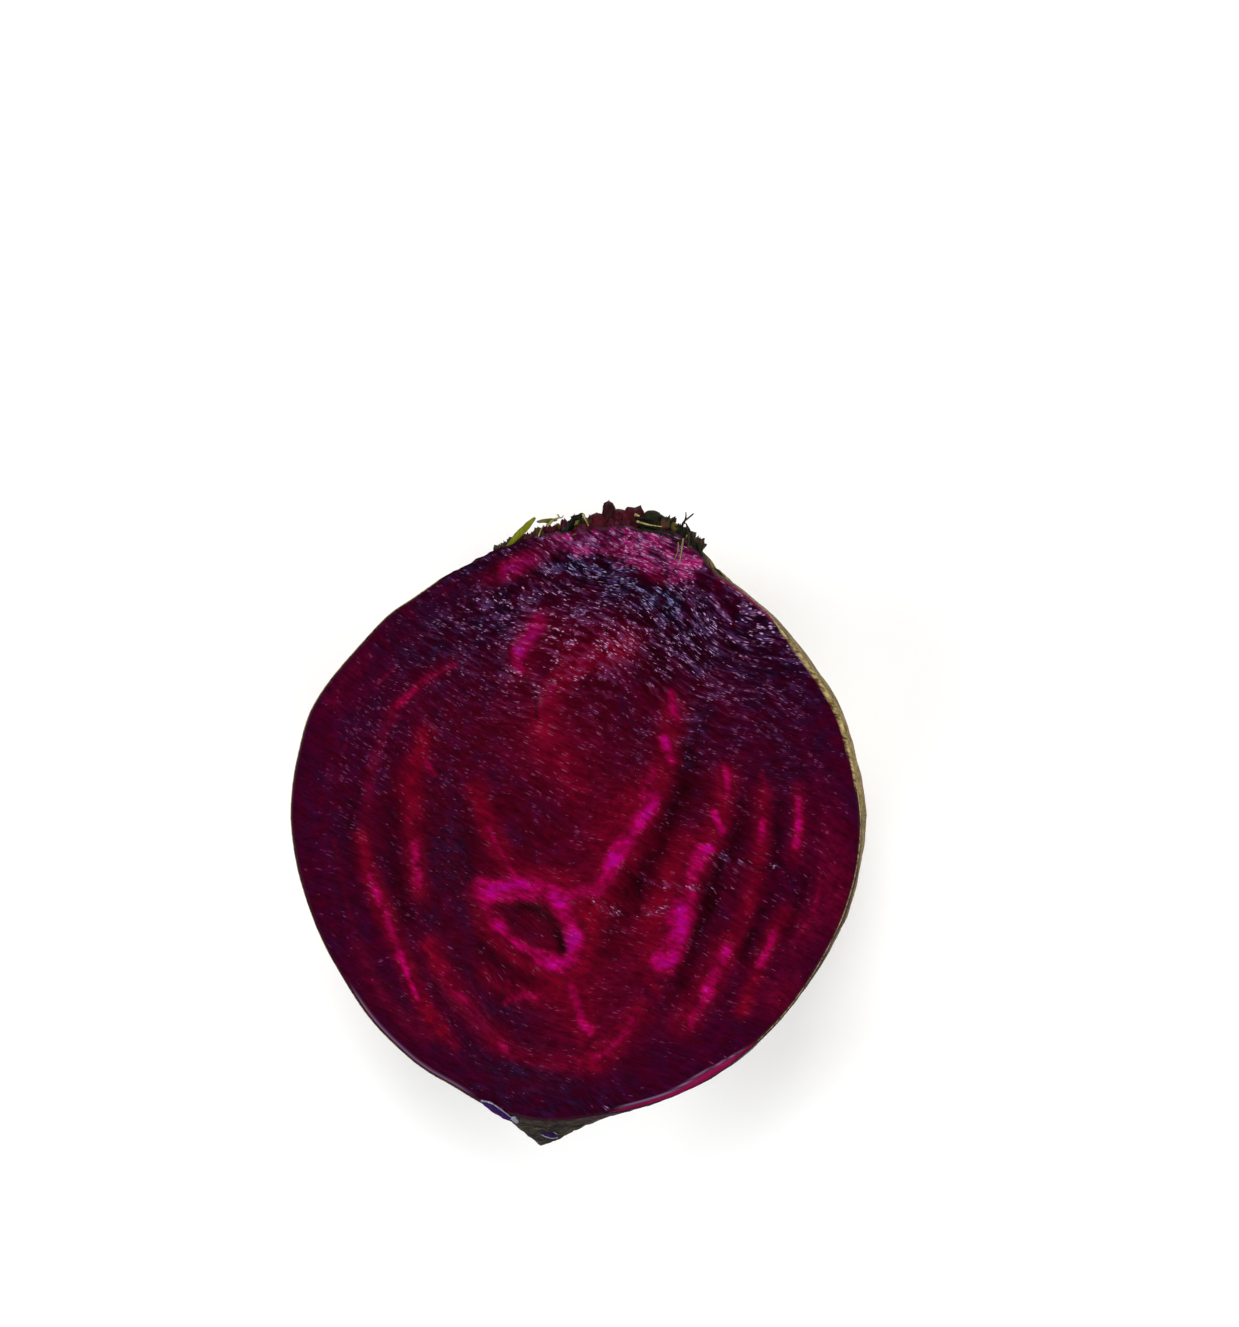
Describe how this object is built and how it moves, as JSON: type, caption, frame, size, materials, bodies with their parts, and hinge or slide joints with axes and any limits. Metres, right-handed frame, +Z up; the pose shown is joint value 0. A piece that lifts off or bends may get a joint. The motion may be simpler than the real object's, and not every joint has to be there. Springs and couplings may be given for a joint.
{
  "type": "beetroot half",
  "caption": "Half of a raw beetroot, split lengthwise from crown to root tip, lying on its back with the ringed cut face up and the trimmed leaf-stalk stumps at its crown.",
  "frame": {"origin": "on the surface that the half rests on, under the middle of its outline", "axes": "+Z up, out of the cut face; +Y from root tip to crown; +X to the right when the cut face is seen from above with the crown at the top"},
  "size_m": [0.0842, 0.096, 0.0411],
  "materials": {
    "flesh": "gloss",
    "skin": "matte",
    "leaf_stalk": "matte"
  },
  "bodies": {
    "root": {"root": "flesh", "crown": "leaf_stalk"}
  },
  "joints": []
}
